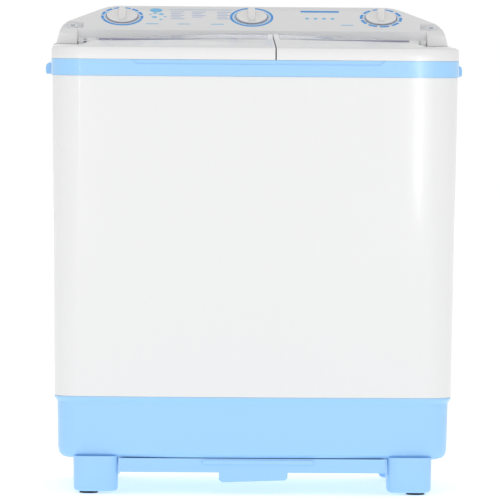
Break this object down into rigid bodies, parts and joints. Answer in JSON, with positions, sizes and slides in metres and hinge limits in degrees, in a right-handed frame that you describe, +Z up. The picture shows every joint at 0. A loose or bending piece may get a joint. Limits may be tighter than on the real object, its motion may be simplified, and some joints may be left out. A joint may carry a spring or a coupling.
{
  "type": "twin tub washer",
  "caption": "Twin tub washing machine with a wash tub and a spin tub under separate hinged lids, a sloping control panel with turning knobs, and a blue base on feet.",
  "frame": {"origin": "on the floor, at the centre of the footprint", "axes": "+Z up, -Y to the front, +X to the right as seen from the front"},
  "size_m": [0.721, 0.42, 0.8381],
  "materials": {
    "white": "glossy off-white",
    "blue": "glossy pale blue",
    "panel_grey": "satin light grey",
    "tub_white": "satin",
    "rubber": "matt black",
    "black_plastic": "matt",
    "clear": "clear, faint lavender",
    "steel": "zinc plated",
    "aluminium": "as cast"
  },
  "bodies": {
    "cabinet": {"casing": "white", "rear_cover": "white", "panel_base": "white", "base": "blue", "top_frame": "blue", "leg_front_left": "blue", "leg_front_right": "blue", "leg_rear_left": "blue", "leg_rear_right": "blue", "panel_fascia": "panel_grey", "wash_tub": "tub_white", "spin_tub": "tub_white", "water_inlet_left": "tub_white", "water_inlet_right": "tub_white", "drain_valve": "tub_white", "lint_filter_holder": "tub_white", "spin_tub_seal": "rubber", "drive_belt": "rubber", "foot_pad_front_left": "rubber", "foot_pad_front_right": "rubber", "foot_pad_rear_left": "rubber", "foot_pad_rear_right": "rubber", "cord_gland": "black_plastic", "wash_timer": "black_plastic", "selector_switch": "black_plastic", "spin_timer": "black_plastic", "drain_outlet": "black_plastic", "capacitor": "black_plastic", "wash_lid_hinge_rod": "steel", "spin_lid_hinge_rod": "steel", "motor_bracket": "steel", "motor_spring_1": "steel", "motor_spring_2": "steel", "motor_spring_3": "steel", "brake_post": "steel", "gearbox_housing": "aluminium", "wash_motor_stator": "aluminium", "spin_motor_stator": "aluminium"},
    "bottom_cover": {"bottom_cover": "blue"},
    "wash_lid": {"wash_lid": "white", "wash_lid_window": "clear"},
    "spin_lid": {"spin_lid": "white", "spin_lid_window": "clear"},
    "inner_lid": {"spin_inner_lid": "tub_white"},
    "wash_timer_knob": {"wash_timer_knob": "white"},
    "selector_knob": {"selector_knob": "white"},
    "spin_timer_knob": {"spin_timer_knob": "white"},
    "agitator": {"pulsator": "blue", "pulsator_shaft": "steel", "drive_pulley": "aluminium"},
    "wash_rotor": {"wash_motor_rotor": "steel", "motor_pulley": "aluminium"},
    "basket": {"spin_basket": "tub_white", "balance_ring": "tub_white", "basket_shaft": "steel", "spin_motor_rotor": "steel"},
    "brake": {"brake_lever": "steel"},
    "valve_rod": {"drain_valve_rod": "tub_white"},
    "lint_filter": {"lint_filter": "blue"}
  },
  "joints": [
    {"name": "wash_lid_hinge", "type": "hinge", "parent": "cabinet", "child": "wash_lid", "pos_m": [0, 0.103, 0.774], "axis": [-1, 0, 0], "range_deg": [0, 94]},
    {"name": "spin_lid_hinge", "type": "hinge", "parent": "cabinet", "child": "spin_lid", "pos_m": [0, 0.103, 0.774], "axis": [-1, 0, 0], "range_deg": [0, 94]},
    {"name": "inner_lid_hinge", "type": "hinge", "parent": "cabinet", "child": "inner_lid", "pos_m": [0.19, 0.094, 0.753], "axis": [-1, 0, 0], "range_deg": [0, 88]},
    {"name": "brake_swing", "type": "hinge", "parent": "cabinet", "child": "brake", "pos_m": [0.27, 0.034, 0.23], "axis": [0, 0, 1], "range_deg": [0, 4]},
    {"name": "wash_timer_turn", "type": "hinge", "parent": "cabinet", "child": "wash_timer_knob", "pos_m": [-0.229, 0.164, 0.81735], "axis": [0, 0.4226, -0.9063], "range_deg": [0, 300]},
    {"name": "selector_turn", "type": "hinge", "parent": "cabinet", "child": "selector_knob", "pos_m": [0, 0.164, 0.81735], "axis": [0, 0.4226, -0.9063], "range_deg": [0, 120]},
    {"name": "spin_timer_turn", "type": "hinge", "parent": "cabinet", "child": "spin_timer_knob", "pos_m": [0.229, 0.164, 0.81735], "axis": [0, 0.4226, -0.9063], "range_deg": [0, 300]},
    {"name": "valve_lift", "type": "slide", "parent": "cabinet", "child": "valve_rod", "axis": [0, 0, 1], "range_m": [0, 0.012]},
    {"name": "agitator_spin", "type": "hinge", "parent": "cabinet", "child": "agitator", "pos_m": [-0.16, -0.033, 0.35], "axis": [0, 0, 1], "continuous": true},
    {"name": "wash_motor_spin", "type": "hinge", "parent": "cabinet", "child": "wash_rotor", "pos_m": [-0.012, -0.104, 0.27], "axis": [0, 0, 1], "continuous": true},
    {"name": "basket_spin", "type": "hinge", "parent": "cabinet", "child": "basket", "pos_m": [0.19, -0.033, 0.5], "axis": [0, 0, 1], "continuous": true},
    {"name": "lint_filter_lift", "type": "slide", "parent": "cabinet", "child": "lint_filter", "axis": [0, 0, 1], "range_m": [0, 0.06]},
    {"name": "bottom_cover_slide", "type": "slide", "parent": "cabinet", "child": "bottom_cover", "axis": [0, -1, 0], "range_m": [0, 0.3]}
  ],
  "couplings": [
    {"joint": "inner_lid_hinge", "follows": "spin_lid_hinge", "ratio": 0.93},
    {"joint": "brake_swing", "follows": "spin_lid_hinge", "ratio": 0.035},
    {"joint": "valve_lift", "follows": "selector_turn", "m_per_rad": 0.0057},
    {"joint": "wash_motor_spin", "follows": "agitator_spin", "ratio": 3.0769}
  ]
}
